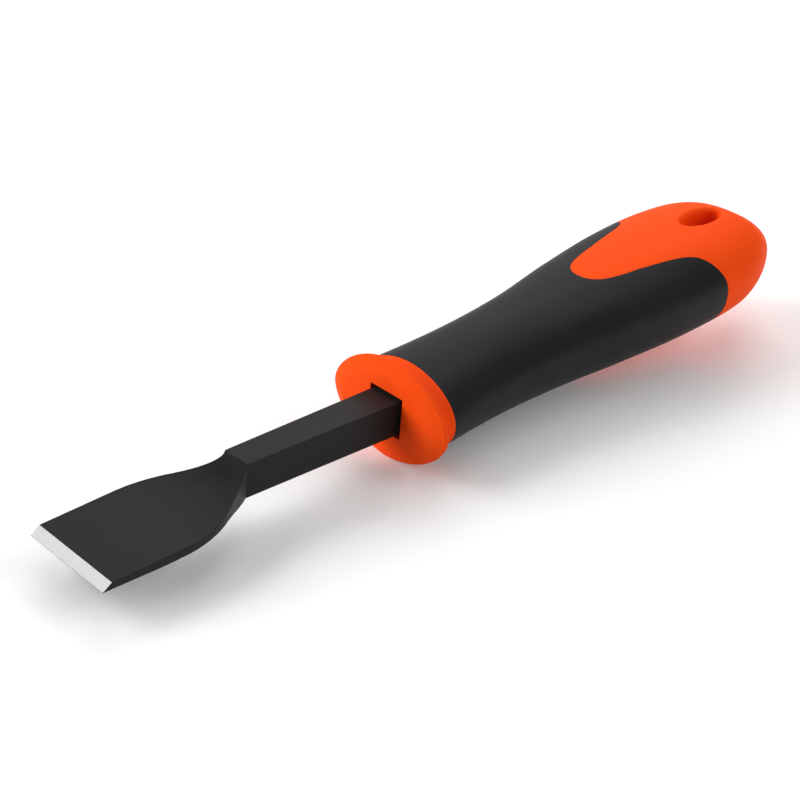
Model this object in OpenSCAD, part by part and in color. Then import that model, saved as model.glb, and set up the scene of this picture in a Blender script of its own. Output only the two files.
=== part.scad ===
// Hand chisel with a wide, thin blade, a square shank and an oval two-part handle.
// The tool lies along X: cutting edge toward -X, butt of the handle toward +X, Z up.
// The underside of the oval guard touches z = 0, and y = 0 is the plane of symmetry.
// Every length is in millimetres.

/* [Blade] */
// Width of the blade across its cutting edge
blade_w = 24.9; // [15:0.1:40]
// Width of the blade at its shoulders, where it is widest
shoulder_w = 25.6; // [15:0.1:42]
// Distance from the cutting edge to the crease where the shank begins
neck_x = 42.9; // [38:0.1:60]
// Length of the ground bevel along the blade
bevel_l = 2.2; // [1:0.1:5]
// Thickness of the blade just behind the bevel
edge_t = 1.7; // [0.8:0.05:3]
// Rise of the blade's top surface for each mm toward the shank
top_slope = 0.032; // [0:0.002:0.06]
// Distance from the cutting edge to the shoulders
side_l = 21; // [10:0.5:25]
// Radius of the convex shoulders
shoulder_r = 24; // [10:0.5:40]
// Length of the hollow ramp that climbs to the top of the shank
ramp_l = 23; // [8:0.5:30]
// How late the ramp climbs (2 is a quarter of an ellipse)
ramp_k = 2.4; // [2:0.1:4]
// Depth of the shallow hollow in the underside, behind its flat front part
hollow_d = 1; // [0.2:0.1:1.4]
// Length of the flat front part of the underside
flat_l = 13; // [8:0.5:18]

/* [Shank] */
// Side of the square shank where it enters the guard
shank_s = 8.7; // [6:0.1:10]
// Width of the shank at the neck, a little less than at the guard
neck_w = 7.4; // [5:0.1:8]
// Distance from the cutting edge to the front face of the guard
guard_x = 86.7; // [70:0.1:120]

/* [Tang] */
// Side of the square tang inside the handle
tang_s = 6.4; // [4:0.1:7]
// Length of the tang behind the shoulder of the shank
tang_l = 56; // [30:1:80]
// Depth of the retention notches in both sides of the tang
notch_d = 1.1; // [0.4:0.1:1.5]

/* [Guard] */
// Width of the oval guard
guard_w = 37.2; // [32:0.2:44]
// Height of the oval guard
guard_h = 25.1; // [21:0.1:30]
// Thickness of the guard's rounded rim
guard_t = 1.2; // [1:0.1:3]
// How far the rim stands back from the middle of the domed front face
guard_dome = 1.1; // [0.4:0.05:2]
// Roundness of the guard's outline (2 is an ellipse)
guard_power = 1.78; // [1.6:0.02:2.4]
// Side of the square recess around the shank
socket_s = 10.5; // [9.2:0.1:11.5]
// Depth of the square recess
socket_d = 6; // [2:0.5:8]

/* [Handle] */
// Distance from the guard's front face to the front edge of the soft grip
collar_l = 7.3; // [6:0.1:10]
// Length of the handle behind that edge
grip_l = 131.6; // [110:0.2:150]
// Full width at eight stations, from the collar to the butt
widths = [31.2, 27.6, 28.7, 34, 38.8, 39.6, 33.4, 25];
// Full height at the same stations
heights = [20.5, 21.5, 22.3, 23.8, 24.6, 23.2, 21.5, 18];
// Height of the section's centre above the shank's axis at the same stations
lifts = [0, 1.2, 2.7, 4.6, 6.3, 7.8, 8.7, 5.7];
// Roundness of the section at the collar, the middle and the butt (2 is an ellipse)
powers = [1.94, 2.48, 2.48];
// Length over which the butt is rounded off
dome_l = 28.9; // [15:0.5:40]
// Thickness of the soft grip over the hard core
sleeve_t = 2.2; // [1.2:0.1:3]

/* [Tongue] */
// Distance from the grip's front edge to the line where the side panels end
panel_l = 94.3; // [80:0.5:105]
// How far that line bows forward above and below
panel_bow = 6.5; // [0:0.1:12]
// Length of the hard tongue that runs forward from there, above and below, without its round tip
tongue_l = 22.6; // [10:0.2:50]
// Half angle around the handle where the tongue's sides flare out
tongue_a = 24.2; // [15:0.1:40]
// How sharply the tongue's sides flare out
tongue_k = 7.5; // [3:0.1:12]
// Length of the tongue's round tip
tip_l = 8; // [2:0.1:14]
// Half angle around the handle that the tip covers
tip_a = 20.5; // [12:0.1:30]

/* [Hang hole] */
// Width of the oval hang hole
hole_w = 6.4; // [4.5:0.1:12]
// Length of the oval hang hole
hole_l = 15.4; // [9:0.1:20]
// Distance from the hang hole's centre to the end of the butt
hole_in = 25.3; // [18:0.1:40]

/* [Hidden] */
grip_x = guard_x + collar_l;
end_x = grip_x + grip_l;
web_t = 3;
shoulder_x = guard_x + socket_d + web_t;
tang_end = shoulder_x + tang_l;
edge_land = 0.1;
stations = [0, 0.14, 0.30, 0.46, 0.62, 0.78, 0.90, 1];
station_x = [for (q = stations) grip_x + q * grip_l];

// Smooth curve through the stations
function step(xs, i) = xs[i + 1] - xs[i];
function secant(xs, ys, i) = (ys[i + 1] - ys[i]) / step(xs, i);
function inner_slope(xs, ys, i) =
    (secant(xs, ys, i - 1) * step(xs, i) + secant(xs, ys, i) * step(xs, i - 1)) / (step(xs, i) + step(xs, i - 1));
function slope(xs, ys, i) =
    i == 0 ? 1.5 * secant(xs, ys, 0) - 0.5 * inner_slope(xs, ys, 1)
    : i == len(xs) - 1 ? 1.5 * secant(xs, ys, i - 1) - 0.5 * inner_slope(xs, ys, i - 1)
    : inner_slope(xs, ys, i);
function span(xs, x, i = 0) = i >= len(xs) - 2 || x < xs[i + 1] ? i : span(xs, x, i + 1);
function cubic(xs, ys, i, u) =
    (1 + 2 * u) * pow(1 - u, 2) * ys[i]
    + u * pow(1 - u, 2) * step(xs, i) * slope(xs, ys, i)
    + u * u * (3 - 2 * u) * ys[i + 1]
    + u * u * (u - 1) * step(xs, i) * slope(xs, ys, i + 1);
function through(xs, ys, x) = let (i = span(xs, x)) cubic(xs, ys, i, (x - xs[i]) / step(xs, i));

// Handle section: a superellipse whose roundness changes along the handle
function part_way(x) = min(1, max(0, (x - grip_x) / grip_l));
middle = 0.45;
butt_start = 0.85;
function power(x) =
    part_way(x) < middle ? powers[0] + (powers[1] - powers[0]) * part_way(x) / middle
    : powers[1] + (powers[2] - powers[1]) * min(1, (part_way(x) - middle) / (butt_start - middle));
dome_k = 2.2;
function dome(x) = let (u = min(1, max(0, (x - end_x + dome_l) / dome_l))) pow(1 - pow(u, dome_k), 1 / dome_k);
function curve_part(v, n) = sign(v) * pow(abs(v), 2 / n);
function oval(x, half_w, half_h, lift, n, a) =
    [x, -half_w * curve_part(cos(a), n), lift + half_h * curve_part(sin(a), n)];
function skin(x, a, inset) =
    let (d = dome(x))
    oval(x, (through(station_x, widths, x) / 2 - inset) * d, (through(station_x, heights, x) / 2 - inset) * d,
        through(station_x, lifts, x), power(x), a);

// Angles around the handle, closer together where the tongue's sides run
quarter = [0, 5, 10, 13, 15.5, 18, 20.5, 23, 25.5, 28, 30.5, 33, 37, 42, 48, 55, 63, 72, 81];
half_turn = concat([for (q = quarter) q], [90], [for (i = [len(quarter) - 1:-1:1]) 180 - quarter[i]]);
around = concat([for (q = half_turn) 90 - q], [-90], [for (i = [len(half_turn) - 1:-1:1]) 90 + half_turn[i]]);
cols = len(around);
function off_axis(a) = let (t = abs(sin(a))) 90 - asin(t);
tip_k = 0.75;
function panel_end(a) =
    grip_x + panel_l - panel_bow * pow(sin(a), 2) - tongue_l / (1 + pow(off_axis(a) / tongue_a, tongue_k))
    - tip_l * pow(max(0, 1 - pow(off_axis(a) / tip_a, 2)), tip_k);

// Rings of points: under the grip, on the grip and over the butt
grip_steps = 18;
butt_steps = 24;
function grip_ring(t, inset) = [for (a = around) skin(grip_x + t * (panel_end(a) - grip_x), a, inset)];
crowding = 2.2;
function butt_ring(s) =
    [for (a = around) let (b = panel_end(a)) skin(b + (end_x - b) * (1 - pow(1 - s, crowding)), a, 0)];

// Guard rings: distance behind the front face, and inset from the guard's rim
rim_r = guard_t / 2;
rim_inset = 0.9 * rim_r;
flat_inset = 5;
guard_profile = concat(
    [for (t = [0:0.25:0.75]) [2 * guard_dome * (1 - cos(60 * t)), flat_inset - (flat_inset - rim_inset) * t]],
    [for (q = [15:25:165]) [guard_dome + rim_r * (1 - cos(q)), rim_inset * (1 - sin(q))]]
);
guard_rings = [for (q = guard_profile)
    [for (a = around) oval(guard_x + q[0], guard_w / 2 - q[1], guard_h / 2 - q[1], 0, guard_power, a)]];

// Neck rings behind the guard: distance in front of the soft grip, and inset from its front edge
neck_profile = [[4.2, 0.7], [3, 0.6], [1.6, 0.4], [0.6, 0.1]];
neck_rings = concat(
    [for (q = neck_profile)
        [for (a = around) oval(grip_x - q[0], widths[0] / 2 - q[1], heights[0] / 2 - q[1], lifts[0], powers[0], a)]],
    [grip_ring(0, 0)]
);
core_rings = concat(
    guard_rings,
    neck_rings,
    [for (i = [0:grip_steps]) grip_ring(i / grip_steps, sleeve_t)],
    [for (i = [0:butt_steps - 1]) butt_ring(i / butt_steps)]
);
sleeve_rings = concat(
    [for (i = [0:grip_steps]) grip_ring(i / grip_steps, 0)],
    [for (i = [grip_steps:-1:0]) grip_ring(i / grip_steps, sleeve_t)]
);

// A skin through rings of points
function flat(rings) = [for (r = rings) for (p = r) p];
function quad(i, j, rows) =
    let (a = (i % rows) * cols + j, b = (i % rows) * cols + (j + 1) % cols,
        c = ((i + 1) % rows) * cols + (j + 1) % cols, d = ((i + 1) % rows) * cols + j)
    [[a, b, c], [a, c, d]];
module tube_skin(rings) {
    polyhedron(
        points = flat(rings),
        faces = [for (i = [0:len(rings) - 1]) for (j = [0:cols - 1]) for (f = quad(i, j, len(rings))) f]
    );
}
module capped_skin(rings, tip) {
    last = len(rings) - 1;
    polyhedron(
        points = concat(flat(rings), [tip]),
        faces = concat(
            [[for (j = [cols - 1:-1:0]) j]],
            [for (i = [0:last - 1]) for (j = [0:cols - 1]) for (f = quad(i, j, len(rings))) f],
            [for (j = [0:cols - 1]) [last * cols + j, last * cols + (j + 1) % cols, len(rings) * cols]]
        )
    );
}

// Outline of the steel from above: half widths along the blade, shank and tang
shoulder_a = 30;
function shoulder(q) = [side_l + shoulder_r * sin(q), shoulder_w / 2 - shoulder_r * (1 - cos(q))];
notch_l = 4;
notch_in = 12;
notch_pitch = 14;
half_outline = concat(
    [[0, blade_w / 2]],
    [for (q = [0:3:shoulder_a]) shoulder(q)],
    [[neck_x, neck_w / 2], [guard_x, shank_s / 2], [shoulder_x, shank_s / 2], [shoulder_x, tang_s / 2]],
    [for (n = [0:2]) for (c = [[0, 0], [0, -notch_d], [notch_l, -notch_d], [notch_l, 0]])
        [shoulder_x + notch_in + n * notch_pitch + c[0], tang_s / 2 + c[1]]],
    [[tang_end, tang_s / 2]]
);
outline = concat(half_outline, [for (i = [len(half_outline) - 1:-1:0]) [half_outline[i][0], -half_outline[i][1]]]);

// Outline of the steel from the side: sloping top and ramp above, flat front part and hollow below
shank_drop = 0.2;
low = shank_drop - shank_s / 2;
ramp_x = neck_x - ramp_l;
function top_z(x) = low + edge_t + top_slope * (x - bevel_l);
ramp_h = shank_s / 2 - top_z(neck_x);
function ramp(u) = [ramp_x + ramp_l * u, top_z(ramp_x + ramp_l * u) + ramp_h * (1 - sqrt(1 - pow(u, ramp_k)))];
hollow_x = 33;
hollow_end = neck_x - 1.4;
function ease(t) = t * t * (3 - 2 * t);
underside = concat(
    [[0, low]],
    [for (t = [0:0.1:1]) [flat_l + (hollow_x - flat_l) * t, low + hollow_d * ease(t)]],
    [for (t = [0.125:0.125:1]) [hollow_x + (hollow_end - hollow_x) * t, low + hollow_d * (1 - ease(t))]],
    [[guard_x, -shank_s / 2], [shoulder_x, -shank_s / 2], [shoulder_x, -tang_s / 2], [tang_end, -tang_s / 2]]
);
topside = concat(
    [[0, low + edge_land], [bevel_l, top_z(bevel_l)]],
    [for (q = [0:5:90]) ramp(sin(q))],
    [[shoulder_x, shank_s / 2], [shoulder_x, tang_s / 2], [tang_end, tang_s / 2]]
);
side = concat(topside, [for (i = [len(underside) - 1:-1:0]) underside[i]]);

module placed() {
    translate([-end_x / 2, 0, guard_h / 2]) children();
}

module steel() {
    intersection() {
        translate([0, 0, -shank_s]) linear_extrude(height = 2 * shank_s) polygon(outline);
        translate([0, blade_w, 0]) rotate([90, 0, 0]) linear_extrude(height = 2 * blade_w) polygon(side);
    }
}

module blade() {
    color([0.2, 0.2, 0.21]) placed() steel();
}

module hang_hole() {
    rim = [for (q = [0:6:354]) [hole_l / 2 * cos(q), hole_w / 2 * sin(q)]];
    translate([end_x - hole_in, 0, -guard_w]) linear_extrude(height = 2 * guard_w) polygon(rim);
}

module handle_core() {
    color([0.97, 0.33, 0.13]) placed() difference() {
        capped_skin(core_rings, [end_x, 0, lifts[7]]);
        translate([guard_x - 1, -socket_s / 2, -socket_s / 2]) cube([socket_d + 1, socket_s, socket_s]);
        steel();
        hang_hole();
    }
}

module grip_sleeve() {
    color([0.16, 0.165, 0.17]) placed() tube_skin(sleeve_rings);
}

blade();
handle_core();
grip_sleeve();
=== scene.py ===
import math
import bmesh
import bpy
import numpy as np
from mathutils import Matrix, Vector


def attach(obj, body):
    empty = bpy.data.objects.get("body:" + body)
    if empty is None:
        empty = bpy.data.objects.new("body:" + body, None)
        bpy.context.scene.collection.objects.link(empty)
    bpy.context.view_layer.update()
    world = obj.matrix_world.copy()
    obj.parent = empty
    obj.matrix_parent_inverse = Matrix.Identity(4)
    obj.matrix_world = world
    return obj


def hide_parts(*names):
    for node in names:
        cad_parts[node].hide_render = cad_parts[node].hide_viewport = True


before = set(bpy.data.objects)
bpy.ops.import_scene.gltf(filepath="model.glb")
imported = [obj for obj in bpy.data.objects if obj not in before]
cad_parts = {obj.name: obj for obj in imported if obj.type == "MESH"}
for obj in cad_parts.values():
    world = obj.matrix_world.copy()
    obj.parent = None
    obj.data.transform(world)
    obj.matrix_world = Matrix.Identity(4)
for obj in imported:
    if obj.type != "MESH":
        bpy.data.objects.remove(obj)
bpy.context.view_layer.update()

# A hand chisel: steel blade with shank and tang, hard handle core, soft grip sleeve.
# Shapes are built in mm, with X from the cutting edge to the butt and the shank's axis
# at Y = Z = 0. new_mesh() moves them into the frame and turns them into metres.

# ---------------------------------------------------------------- blade, shank and tang
BLADE_W, SHOULDER_W = 24.9, 25.6  # width at the cutting edge and where the sides end
SIDE_L, SHOULDER_R = 21.0, 24.0  # straight sides, then rounded shoulders
SHOULDER_A = math.radians(30)  # how far the shoulders turn
NECK_X, NECK_W = 42.9, 7.4  # where the blade ends in the shank
BEVEL_L, EDGE_T, TIP_T = 2.2, 1.7, 0.1  # bevel, thickness behind it and at the edge itself
TOP_SLOPE = 0.032  # rise of the blade's top per mm
RAMP_L, RAMP_K = 23.0, 2.4  # curve from the blade's top up to the shank
FLAT_L, HOLLOW_D, HOLLOW_X = 13.0, 1.0, 33.0  # flat underside, then a hollow, deepest at HOLLOW_X
HOLLOW_END = NECK_X - 1.4
SHANK_S, SHANK_DROP = 8.7, 0.2  # square shank, lower than the blade's underside at the guard
TANG_S, TANG_L = 6.4, 56.0
NOTCHES, NOTCH_D, NOTCH_L, NOTCH_IN, NOTCH_PITCH = 3, 1.1, 4.0, 12, 14
CORNER_R, EDGE_R = 0.1, 0.03  # rounding of the steel's corners, and of the bevel's

# ---------------------------------------------------------------- guard
GUARD_X, GUARD_W, GUARD_H, GUARD_T, GUARD_POWER = 86.7, 37.2, 25.1, 1.2, 1.78
GUARD_DOME, DOME_W = 1.1, 5.0  # the domed border, its height and width
GUARD_FLAT = (9, 7)  # insets of two rings on the flat middle
RIM_K, RIM_A = 0.9, 14  # roundness of the rim and the angle where it starts
SOCKET_S, SOCKET_D = 10.5, 6.0  # square recess round the shank
SHANK_IN = 3  # how far the full shank runs on behind the recess

# ---------------------------------------------------------------- handle
COLLAR_L, GRIP_L, SLEEVE_T, SEAM_R = 7.3, 131.6, 2.2, 0.1
STATIONS = [0, 0.14, 0.30, 0.46, 0.62, 0.78, 0.90, 1]
WIDTHS = [31.2, 27.6, 28.7, 34.0, 38.8, 39.6, 33.4, 25.0]
HEIGHTS = [20.5, 21.5, 22.3, 23.8, 24.6, 23.2, 21.5, 18.0]
LIFTS = [0.0, 1.2, 2.7, 4.6, 6.3, 7.8, 8.7, 5.7]
POWER_STATIONS, POWERS = [0, 0.45, 0.85], [1.94, 2.48, 2.48]
BUTT_L, BUTT_K = 28.9, 2.2  # rounded end
# neck behind the guard: (distance in front of the grip, inset)
NECK_ROWS = [(4.6, 1.2), (4.4, 0.9), (4.2, 0.75), (3.8, 0.66), (3, 0.6), (2.3, 0.52),
             (1.6, 0.4), (1.2, 0.3), (0.9, 0.2), (0.6, 0.1), (0.35, 0.03)]
# soft panel: its length, bow, and the tongue cut into its end, with angles in degrees
PANEL_L, PANEL_BOW = 94.3, 6.5
TONGUE_L, TONGUE_A, TONGUE_K = 22.6, 24.2, 7.5
TIP_L, TIP_A, TIP_K = 8.0, 20.5, 0.75
HOLE_W, HOLE_L, HOLE_IN, HOLE_LIP = 6.4, 15.4, 25.3, 1.3
HOLE_CORE = 4  # depth from which the hole's walls are plain
HOLE_ABOVE = (5, 0.5)  # heights over the skin where the cutter starts
HOLE_MARGIN = 1.2  # how much wider it is there

GRIP_X = GUARD_X + COLLAR_L
END_X = GRIP_X + GRIP_L
SHOULDER_X = GUARD_X + SOCKET_D + SHANK_IN
TANG_END = SHOULDER_X + TANG_L
LOW = SHANK_DROP - SHANK_S / 2
ORIGIN = np.array([-END_X / 2, 0.0, GUARD_H / 2])
MM = 1000


# ---------------------------------------------------------------- smooth handle shape
class Through:
    """A smooth curve through stations."""

    def __init__(self, xs, ys):
        self.x, self.y = np.array(xs, float), np.array(ys, float)
        h = np.diff(self.x)
        d = np.diff(self.y) / h
        m = np.zeros(len(xs))
        m[1:-1] = (d[:-1] * h[1:] + d[1:] * h[:-1]) / (h[1:] + h[:-1])
        m[0] = 1.5 * d[0] - 0.5 * m[1]
        m[-1] = 1.5 * d[-1] - 0.5 * m[-2]
        self.m = m

    def __call__(self, q):
        q = np.asarray(q, float)
        k = np.clip(np.searchsorted(self.x, q, side="right") - 1, 0, len(self.x) - 2)
        h = self.x[k + 1] - self.x[k]
        u = (q - self.x[k]) / h
        return ((1 + 2 * u) * (1 - u) ** 2 * self.y[k] + u * (1 - u) ** 2 * h * self.m[k]
                + u * u * (3 - 2 * u) * self.y[k + 1] + u * u * (u - 1) * h * self.m[k + 1])


station_x = [GRIP_X + q * GRIP_L for q in STATIONS]
half_w = Through(station_x, [w / 2 for w in WIDTHS])
half_h = Through(station_x, [h / 2 for h in HEIGHTS])
lift = Through(station_x, LIFTS)


def power(x):
    """Power of the superellipse section at x."""
    q = np.clip((np.asarray(x, float) - GRIP_X) / GRIP_L, 0, 1)
    return np.interp(q, POWER_STATIONS, POWERS)


def dome(x):
    """How much of the full section is left at x, 0 at the butt's end."""
    u = np.clip((np.asarray(x, float) - END_X + BUTT_L) / BUTT_L, 0, 1)
    return np.clip(1 - u ** BUTT_K, 0, 1) ** (1 / BUTT_K)


def oval(x, w, h, up, n, a):
    """Points on a superellipse of half sizes w and h, raised by up."""
    c, s = np.cos(a), np.sin(a)
    y = -w * np.sign(c) * np.abs(c) ** (2 / n)
    z = up + h * np.sign(s) * np.abs(s) ** (2 / n)
    return np.stack(np.broadcast_arrays(x, y, z), -1)


def skin(x, a, inset=0.0):
    """Points on the handle's skin, or inset under it."""
    x = np.asarray(x, float)
    d = dome(x)
    return oval(x, (half_w(x) - inset) * d, (half_h(x) - inset) * d, lift(x), power(x), a)


def surface_z(x, y, side):
    """Height of the handle's skin at (x, y), above (side 1) or below (side -1)."""
    d = dome(x)
    w, h, n = half_w(x) * d, half_h(x) * d, power(x)
    return lift(x) + side * h * np.clip(1 - np.abs(y / w) ** n, 0, 1) ** (1 / n)


def panel_end(a):
    """Where the soft panel ends along X. It has a tongue at the top and the bottom."""
    off = np.degrees(np.arccos(np.clip(np.abs(np.sin(a)), 0, 1)))
    bow = PANEL_BOW * np.sin(a) ** 2
    tongue = TONGUE_L / (1 + (off / TONGUE_A) ** TONGUE_K)
    tip = TIP_L * np.clip(1 - (off / TIP_A) ** 2, 0, 1) ** TIP_K
    return GRIP_X + PANEL_L - bow - tongue - tip


def angles():
    """Angles all round, closer together where the tongue's sides run."""
    parts = [np.linspace(0, 10, 9), np.linspace(10, 32, 45), np.linspace(32, 90, 34)]
    q = np.concatenate([p[:-1] for p in parts])
    half = np.concatenate([q, [90], (180 - q[1:])[::-1]])
    turn = np.concatenate([half, [180], (360 - half[1:])[::-1]])
    return np.radians(90 - turn)


# ---------------------------------------------------------------- mesh helpers
def to_frame(p):
    return (np.asarray(p, float) + ORIGIN) / MM


def new_mesh(name, verts, faces):
    me = bpy.data.meshes.new(name)
    me.from_pydata([tuple(v) for v in to_frame(verts)], [], faces)
    me.update()
    ob = bpy.data.objects.new(name, me)
    bpy.context.scene.collection.objects.link(ob)
    return ob


def loft(rings, close=False, start_tip=None, end_tip=None):
    """Vertices and faces of a skin through rings of points."""
    n = len(rings[0])
    verts = [p for r in rings for p in r]
    faces = []
    rows = len(rings)
    for i in range(rows if close else rows - 1):
        k = (i + 1) % rows
        for j in range(n):
            m = (j + 1) % n
            faces.append((i * n + j, i * n + m, k * n + m, k * n + j))
    if start_tip is not None:
        verts.append(start_tip)
        c = len(verts) - 1
        faces += [((j + 1) % n, j, c) for j in range(n)]
    if end_tip is not None:
        verts.append(end_tip)
        c = len(verts) - 1
        b = (rows - 1) * n
        faces += [(b + j, b + (j + 1) % n, c) for j in range(n)]
    return verts, faces


def capped(name, rings):
    """A closed mesh through rings, with one face at each end."""
    n = len(rings[0])
    verts, faces = loft(rings)
    faces.append(tuple(reversed(range(n))))
    faces.append(tuple(range((len(rings) - 1) * n, len(rings) * n)))
    return new_mesh(name, verts, faces)


def outward(ob):
    """Turns every face of a closed mesh outward."""
    bm = bmesh.new()
    bm.from_mesh(ob.data)
    bmesh.ops.recalc_face_normals(bm, faces=bm.faces)
    bm.to_mesh(ob.data)
    bm.free()


def cut(ob, cutters):
    """Cuts the cutters out of ob and removes them."""
    for c in cutters:
        outward(c)
        mod = ob.modifiers.new("cut", "BOOLEAN")
        mod.operation = "DIFFERENCE"
        mod.solver = "EXACT"
        mod.object = c
        mod.material_mode = "INDEX"
    dg = bpy.context.evaluated_depsgraph_get()
    me = bpy.data.meshes.new_from_object(ob.evaluated_get(dg))
    ob.modifiers.clear()
    old = ob.data
    ob.data = me
    me.name = old.name
    bpy.data.meshes.remove(old)
    for c in cutters:
        d = c.data
        bpy.data.objects.remove(c)
        bpy.data.meshes.remove(d)


def smooth_by_area(ob, sharp):
    """Smooth normals weighted by area, split where faces meet at more than sharp degrees."""
    tiny = 1e-12
    me = ob.data
    for p in me.polygons:
        p.use_smooth = True
    nf = len(me.polygons)
    normal = np.zeros(nf * 3)
    area_of = np.zeros(nf)
    me.polygons.foreach_get("normal", normal)
    me.polygons.foreach_get("area", area_of)
    normal = normal.reshape(-1, 3)
    loops = len(me.loops)
    vertex_of = np.zeros(loops, int)
    me.loops.foreach_get("vertex_index", vertex_of)
    corners = np.zeros(nf, int)
    me.polygons.foreach_get("loop_total", corners)
    face_of = np.repeat(np.arange(nf), corners)
    order = np.argsort(vertex_of, kind="stable")
    first = np.searchsorted(vertex_of[order], np.arange(len(me.vertices) + 1))
    out = np.zeros((loops, 3))
    limit = math.cos(math.radians(sharp))
    for v in range(len(me.vertices)):
        here = order[first[v]:first[v + 1]]
        if len(here) == 0:
            continue
        f = face_of[here]
        nn, aa = normal[f], area_of[f]
        near = (nn @ nn.T) > limit
        acc = near @ (nn * aa[:, None])
        ln = np.linalg.norm(acc, axis=1, keepdims=True)
        out[here] = np.where(ln > tiny, acc / np.maximum(ln, tiny), nn)
    me.normals_split_custom_set([tuple(v) for v in out])


# ---------------------------------------------------------------- materials
class Mat:
    """A node material with short helpers."""

    def __init__(self, name, color, roughness, specular):
        self.material = bpy.data.materials.new(name)
        self.material.use_nodes = True
        self.tree = self.material.node_tree
        self.shader = self.tree.nodes["Principled BSDF"]
        self.shader.inputs["Base Color"].default_value = color
        self.shader.inputs["Roughness"].default_value = roughness
        self.shader.inputs["Specular IOR Level"].default_value = specular
        self.material.diffuse_color = color
        self.coord = self.tree.nodes.new("ShaderNodeTexCoord").outputs["Object"]

    def node(self, kind, **values):
        """A new node, with spaces for the underscores in the names of its inputs."""
        n = self.tree.nodes.new(kind)
        for k, v in values.items():
            n.inputs[k.replace("_", " ")].default_value = v
        return n

    def noise(self, scale, detail, rough, stretch=(1, 1, 1)):
        n = self.node("ShaderNodeTexNoise", Scale=scale, Detail=detail, Roughness=rough)
        space = self.node("ShaderNodeMapping", Scale=stretch)
        self.tree.links.new(self.coord, space.inputs["Vector"])
        self.tree.links.new(space.outputs["Vector"], n.inputs["Vector"])
        return n.outputs["Fac"]

    def color(self, fac, stops):
        """Base colour from a ramp of (position, colour) stops."""
        n = self.node("ShaderNodeValToRGB")
        e = n.color_ramp.elements
        while len(e) < len(stops):
            e.new(0.5)
        for el, (pos, col) in zip(e, stops):
            el.position = pos
            el.color = (*col, 1)
        self.tree.links.new(fac, n.inputs["Fac"])
        self.tree.links.new(n.outputs["Color"], self.shader.inputs["Base Color"])

    def roughness(self, fac, low, high):
        """Roughness from low to high over the middle of the noise."""
        n = self.node("ShaderNodeMapRange", From_Min=0.3, From_Max=0.7, To_Min=low, To_Max=high)
        self.tree.links.new(fac, n.inputs["Value"])
        self.tree.links.new(n.outputs["Result"], self.shader.inputs["Roughness"])

    def bump(self, fac, strength, distance):
        n = self.node("ShaderNodeBump", Strength=strength, Distance=distance)
        self.tree.links.new(fac, n.inputs["Height"])
        self.tree.links.new(n.outputs["Normal"], self.shader.inputs["Normal"])


def black_steel():
    """Matt black finish on forged steel, with a faint cloudiness and fine scale."""
    m = Mat("black_steel", (0.0135, 0.0135, 0.0138, 1), 0.42, 0.12)
    cloud = m.noise(160, 4, 0.6)
    fine = m.noise(2600, 3, 0.6)
    m.color(cloud, [(0.3, (0.0125, 0.0125, 0.0128)), (0.7, (0.0155, 0.0155, 0.0158))])
    m.roughness(cloud, 0.38, 0.5)
    m.bump(fine, 0.12, 0.00004)
    return m.material


def ground_steel():
    """Bare ground steel, with grinding lines from the edge up the bevel."""
    m = Mat("ground_steel", (0.6, 0.6, 0.6, 1), 0.45, 0.2)
    lines = m.noise(2400, 4, 0.65, (0.05, 4, 0.05))
    m.color(lines, [(0.3, (0.52, 0.52, 0.525)), (0.5, (0.585, 0.585, 0.59)),
                    (0.72, (0.64, 0.64, 0.64))])
    m.roughness(lines, 0.5, 0.36)
    m.bump(lines, 0.25, 0.00003)
    return m.material


def orange_plastic():
    """Hard moulded plastic with a fine grain."""
    m = Mat("orange_plastic", (0.86, 0.071, 0.0065, 1), 0.55, 0.03)
    cloud = m.noise(60, 3, 0.5)
    grain = m.noise(3200, 2, 0.5)
    m.color(cloud, [(0.3, (0.83, 0.0685, 0.0056)), (0.7, (0.87, 0.0715, 0.0064))])
    m.roughness(grain, 0.5, 0.6)
    m.bump(grain, 0.1, 0.00004)
    return m.material


def soft_black():
    """Soft grip rubber with a coarser, matt grain."""
    m = Mat("soft_black", (0.012, 0.0122, 0.0128, 1), 0.5, 0.13)
    grain = m.noise(2400, 3, 0.55)
    cloud = m.noise(80, 3, 0.5)
    m.color(cloud, [(0.3, (0.0108, 0.011, 0.0116)), (0.7, (0.0132, 0.0134, 0.014))])
    m.roughness(grain, 0.42, 0.52)
    m.bump(grain, 0.2, 0.00005)
    return m.material


STEEL, GROUND, ORANGE, BLACK = black_steel(), ground_steel(), orange_plastic(), soft_black()


# ---------------------------------------------------------------- blade, shank and tang
def top_z(x):
    """The blade's flat top."""
    return LOW + EDGE_T + TOP_SLOPE * (x - BEVEL_L)


RAMP_X = NECK_X - RAMP_L
RAMP_H = SHANK_S / 2 - top_z(NECK_X)
SHOULDER_END = SIDE_L + SHOULDER_R * math.sin(SHOULDER_A)
SHOULDER_END_W = SHOULDER_W / 2 - SHOULDER_R * (1 - math.cos(SHOULDER_A))


def ease(t):
    t = min(1, max(0, t))
    return t * t * (3 - 2 * t)


def blade_top(x):
    if x <= BEVEL_L:
        return LOW + TIP_T + (top_z(BEVEL_L) - LOW - TIP_T) * x / BEVEL_L
    if x <= RAMP_X:
        return top_z(x)
    if x < NECK_X:
        u = (x - RAMP_X) / RAMP_L
        return top_z(x) + RAMP_H * (1 - math.sqrt(max(0, 1 - u ** RAMP_K)))
    return SHANK_S / 2


def blade_low(x):
    if x < HOLLOW_X:
        return LOW + HOLLOW_D * ease((x - FLAT_L) / (HOLLOW_X - FLAT_L))
    if x < HOLLOW_END:
        return LOW + HOLLOW_D * (1 - ease((x - HOLLOW_X) / (HOLLOW_END - HOLLOW_X)))
    return LOW - (LOW + SHANK_S / 2) * min(1, (x - HOLLOW_END) / (GUARD_X - HOLLOW_END))


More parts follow.
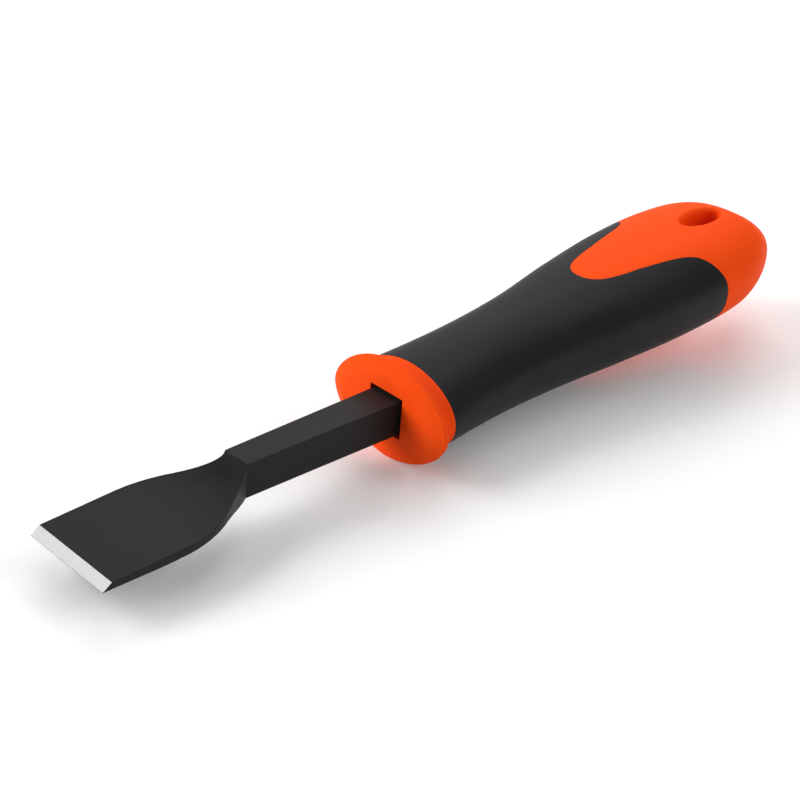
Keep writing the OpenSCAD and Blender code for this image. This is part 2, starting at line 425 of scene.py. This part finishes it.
def blade_half(x):
    """Half the steel's width at x."""
    if x <= SIDE_L:
        return (BLADE_W + (SHOULDER_W - BLADE_W) * x / SIDE_L) / 2
    if x <= SHOULDER_END:
        return SHOULDER_W / 2 - SHOULDER_R + math.sqrt(SHOULDER_R ** 2 - (x - SIDE_L) ** 2)
    if x <= NECK_X:
        part = (x - SHOULDER_END) / (NECK_X - SHOULDER_END)
        return SHOULDER_END_W + (NECK_W / 2 - SHOULDER_END_W) * part
    return NECK_W / 2 + (SHANK_S - NECK_W) / 2 * min(1, (x - NECK_X) / (GUARD_X - NECK_X))


def box_ring(x, w, low, top, r, flat=8, arc=4):
    """A rounded rectangle across the tool at x, of half width w."""
    r = min(r, 0.45 * (top - low), 0.45 * w)
    pts = []
    corners = [(w - r, top - r, 0), (-w + r, top - r, 90),
               (-w + r, low + r, 180), (w - r, low + r, 270)]
    for i, (cy, cz, a0) in enumerate(corners):
        for k in range(arc + 1):
            a = math.radians(a0 + 90 * k / arc)
            pts.append((x, cy + r * math.cos(a), cz + r * math.sin(a)))
        ny, nz, na = corners[(i + 1) % 4]
        a = math.radians(na)
        p, q = pts[-1], (x, ny + r * math.cos(a), nz + r * math.sin(a))
        for k in range(1, flat):
            t = k / flat
            pts.append((x, p[1] + (q[1] - p[1]) * t, p[2] + (q[2] - p[2]) * t))
    return pts[::-1]


def blade_stations():
    """Stations along blade and shank, close together at every edge and on the ramp."""
    xs = [0.0, 0.03, 0.3, 0.8, 1.4] + [BEVEL_L + d for d in (-0.12, -0.04, 0.04, 0.12)]
    xs += list(np.linspace(3, RAMP_X, 28))
    xs += [RAMP_X + RAMP_L * math.sin(a) for a in np.linspace(0, math.pi / 2, 56)[1:-1]]
    xs += [NECK_X + d for d in (-0.02, 0.02, 0.1)]
    return xs + list(np.linspace(NECK_X + 0.5, SHOULDER_X - 0.1, 30))


def tang_stations():
    """(x, half width) along the tang, with a pair of side notches at each place."""
    full, narrow, step = TANG_S / 2, TANG_S / 2 - NOTCH_D, 0.01
    out = [(SHOULDER_X, full)]
    for k in range(NOTCHES):
        x = SHOULDER_X + NOTCH_IN + NOTCH_PITCH * k
        out += [(x, full), (x + step, narrow), (x + NOTCH_L - step, narrow), (x + NOTCH_L, full)]
    return out + [(TANG_END, full)]


def make_blade():
    rings = []
    for x in blade_stations():
        r = EDGE_R if x < BEVEL_L else CORNER_R
        rings.append(box_ring(x, blade_half(x), blade_low(x), blade_top(x), r))
    rings.append(box_ring(SHOULDER_X - 0.05, SHANK_S / 2, -SHANK_S / 2, SHANK_S / 2, CORNER_R))
    for x, w in tang_stations():
        rings.append(box_ring(x, w, -TANG_S / 2, TANG_S / 2, CORNER_R))
    ob = capped("blade_steel", rings)
    ob.data.materials.append(STEEL)
    ob.data.materials.append(GROUND)
    return ob


def grind_bevel(ob):
    """Gives the faces of the bevel the ground steel."""
    end = (BEVEL_L + ORIGIN[0]) / MM
    tilt = 0.3
    for p in ob.data.polygons:
        if p.center.x < end and p.normal.z > tilt and abs(p.normal.y) < tilt:
            p.material_index = 1


# ---------------------------------------------------------------- handle core and grip
ROUND = angles()
PANEL_END = panel_end(ROUND)


def boundary_stretch():
    """How far along X a step of 1 mm square to the panel's edge goes, for each angle."""
    p = skin(PANEL_END, ROUND)
    d = np.roll(p, -1, 0) - np.roll(p, 1, 0)
    along = np.abs(d[:, 0])
    side = np.linalg.norm(d[:, 1:], axis=1)
    steepest = 9
    return np.minimum(np.sqrt(1 + (along / np.maximum(side, 1e-6)) ** 2), steepest)


STRETCH = boundary_stretch()


def seam(steps=4):
    """(distance from the edge, inset) over a seam's small rounding."""
    turns = [math.radians(90 * k / steps) for k in range(steps + 1)]
    return [(SEAM_R * (1 - math.cos(q)), SEAM_R * (1 - math.sin(q))) for q in turns]


def across(x):
    """x for every angle round the handle."""
    return x + 0 * ROUND


def make_sleeve():
    rows = [skin(across(GRIP_X + dx), ROUND, inset) for dx, inset in seam()]
    first, last = GRIP_X + SEAM_R, PANEL_END - SEAM_R * STRETCH
    for t in np.linspace(0, 1, 131)[1:-1]:
        rows.append(skin(first + (last - first) * t, ROUND))
    for dx, inset in reversed(seam()):
        rows.append(skin(PANEL_END - dx * STRETCH, ROUND, inset))
    for t in np.linspace(1, 0, 14):
        rows.append(skin(GRIP_X + (PANEL_END - GRIP_X) * t, ROUND, SLEEVE_T))
    verts, faces = loft(rows, close=True)
    ob = new_mesh("grip_soft", verts, faces)
    ob.data.materials.append(BLACK)
    return ob


def guard_rows():
    """Rings of the guard: flat middle, domed border, rounded rim and back."""
    half_t = GUARD_T / 2
    edge = RIM_K * half_t
    dome_turn = math.pi / 3
    profile = [(0, inset) for inset in GUARD_FLAT]
    for t in np.linspace(0, 0.95, 18):
        profile.append((2 * GUARD_DOME * (1 - math.cos(dome_turn * t)), DOME_W - (DOME_W - edge) * t))
    for q in np.radians(np.linspace(RIM_A, 180 - RIM_A, 25)):
        profile.append((GUARD_DOME + half_t * (1 - math.cos(q)), edge * (1 - math.sin(q))))
    return [oval(across(GUARD_X + dx), GUARD_W / 2 - inset, GUARD_H / 2 - inset, 0.0, GUARD_POWER, ROUND)
            for dx, inset in profile]


def make_core():
    rows = guard_rows()
    for back, inset in NECK_ROWS:
        rows.append(oval(across(GRIP_X - back), WIDTHS[0] / 2 - inset, HEIGHTS[0] / 2 - inset,
                         LIFTS[0], POWERS[0], ROUND))
    for dx, inset in reversed(seam()):
        rows.append(skin(across(GRIP_X - dx), ROUND, inset))
    for t in np.linspace(0, 1, 22):
        rows.append(skin(GRIP_X + (PANEL_END - GRIP_X) * t, ROUND, SLEEVE_T))
    for dx, inset in seam():
        rows.append(skin(PANEL_END + dx * STRETCH, ROUND, inset))
    first = PANEL_END + SEAM_R * STRETCH
    crowding = 2.2
    for s in np.linspace(0, 1, 74)[1:-1]:
        rows.append(skin(first + (END_X - first) * (1 - (1 - s) ** crowding), ROUND))
    verts, faces = loft(rows, start_tip=(GUARD_X, 0, 0), end_tip=(END_X, 0, LIFTS[-1]))
    ob = new_mesh("handle_hard", verts, faces)
    ob.data.materials.append(ORANGE)
    return ob


def slot_ring(grow, side, depth, count=96):
    """A ring of the hang hole's outline, grown, at depth under the skin."""
    pts = []
    for k in range(count):
        t = 2 * math.pi * k / count
        x = END_X - HOLE_IN + (HOLE_L / 2 + grow) * math.cos(t)
        y = (HOLE_W / 2 + grow) * math.sin(t)
        pts.append((x, y, float(surface_z(x, y, side)) - side * depth))
    return pts


def hole_cutter():
    """The hang hole, with rounded lips at both ends. It starts well clear of the skin."""
    turns = [math.radians(q) for q in (78, 70, 62, 54, 46, 38, 30, 20, 10, 0)]
    lip = [(HOLE_LIP * (1 - math.cos(q)), HOLE_LIP * (1 - math.sin(q))) for q in turns]
    lip = [(lip[0][0] + HOLE_MARGIN, -up) for up in HOLE_ABOVE] + lip + [(0, HOLE_CORE)]
    rings = [slot_ring(grow, 1, depth) for grow, depth in lip]
    rings += [slot_ring(grow, -1, depth) for grow, depth in reversed(lip)]
    return capped("cut_hole", rings)


def box_cutter(name, x0, x1, half, r):
    return capped(name, [box_ring(x, half, -half, half, r, flat=1, arc=3) for x in (x0, x1)])


blade = make_blade()
sleeve = make_sleeve()
core = make_core()
outward(blade)
grind_bevel(blade)
outward(sleeve)
outward(core)
CLEAR, LAP = 2, 0.5  # how far a cutter starts in front of the guard, or inside the one before it
socket_cut = box_cutter("cut_socket", GUARD_X - CLEAR, GUARD_X + SOCKET_D, SOCKET_S / 2, 0.15)
shank_cut = box_cutter("cut_shank", GUARD_X + SOCKET_D - LAP, SHOULDER_X, SHANK_S / 2, 0.2)
tang_cut = box_cutter("cut_tang", SHOULDER_X - LAP, TANG_END, TANG_S / 2, 0.1)
cut(core, [socket_cut, shank_cut, tang_cut, hole_cutter()])

for ob, sharp in ((blade, 30), (sleeve, 60), (core, 40)):
    smooth_by_area(ob, sharp)

for ob, node, slot in ((blade, "blade", "blackened_steel"), (core, "handle_core", "orange_plastic"),
                       (sleeve, "grip_sleeve", "soft_grip")):
    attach(ob, "root")
    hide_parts(node)


# ---------------------------------------------------------------- floor, light and camera, in metres
AIM = Vector((0, 0, 0.01))


def floor():
    me = bpy.data.meshes.new("floor")
    s = 0.95
    me.from_pydata([(-s, -s, 0), (s, -s, 0), (s, s, 0), (-s, s, 0)], [], [(0, 1, 2, 3)])
    ob = bpy.data.objects.new("floor", me)
    bpy.context.scene.collection.objects.link(ob)
    m = Mat("floor_pale", (0.93, 0.93, 0.93, 1), 0.9, 0.1)
    m.color(m.noise(3, 2, 0.5), [(0.3, (0.92, 0.92, 0.92)), (0.7, (0.94, 0.94, 0.94))])
    me.materials.append(m.material)


def area(name, place, size, watts):
    """A rectangular soft light at place, aimed at the tool."""
    light = bpy.data.lights.new(name, "AREA")
    light.shape = "RECTANGLE"
    light.size, light.size_y = size
    light.energy = watts
    ob = bpy.data.objects.new(name, light)
    ob.location = place
    ob.rotation_euler = (AIM - Vector(place)).to_track_quat("-Z", "Y").to_euler()
    bpy.context.scene.collection.objects.link(ob)
    return ob


floor()
# the large lights shape the colours, and back_shine and top_shine give the gloss
area("left", (-0.85, 0.85, 0.75), (1.0, 1.0), 17.0).visible_glossy = False
area("left_low", (-1.0, 0.6, 0.25), (0.8, 0.45), 4.5).visible_glossy = False
area("back", (0.85, 0.85, 0.75), (1.0, 1.0), 7.0).visible_glossy = False
area("back_shine", (0.78, 0.78, 0.68), (1.0, 1.0), 3.4)
area("top", (0.05, 0.0, 1.2), (0.8, 0.8), 2.6)
area("top_shine", (0.05, 0.0, 1.1), (0.6, 0.6), 9.0).visible_diffuse = False
area("right", (0.85, -0.85, 0.75), (1.0, 1.0), 11.0).visible_glossy = False

# the world lights the tool faintly, and looks as white as the floor, so no horizon shows
WORLD_LIGHT, WORLD_SEEN = 0.12, 1.0
world = bpy.data.worlds.new("studio")
world.use_nodes = True
nodes, links = world.node_tree.nodes, world.node_tree.links
sky = nodes["Background"]
sky.inputs["Color"].default_value = (1, 1, 1, 1)
ray = nodes.new("ShaderNodeLightPath")
strength = nodes.new("ShaderNodeMapRange")
strength.inputs["To Min"].default_value = WORLD_LIGHT
strength.inputs["To Max"].default_value = WORLD_SEEN
links.new(ray.outputs["Is Camera Ray"], strength.inputs["Value"])
links.new(strength.outputs["Result"], sky.inputs["Strength"])
bpy.context.scene.world = world
bpy.context.scene.view_settings.view_transform = "Standard"

lens = bpy.data.cameras.new("camera")
lens.sensor_width = 36.0
lens.lens = 76.54
lens.clip_start = 0.01
cam = bpy.data.objects.new("camera", lens)
bpy.context.scene.collection.objects.link(cam)
cam.location = (-0.26581, -0.23396, 0.20943)
cam.rotation_euler = [math.radians(q) for q in (59.88367, -4.113806, -43.864108)]
bpy.context.scene.camera = cam

bpy.context.view_layer.update()
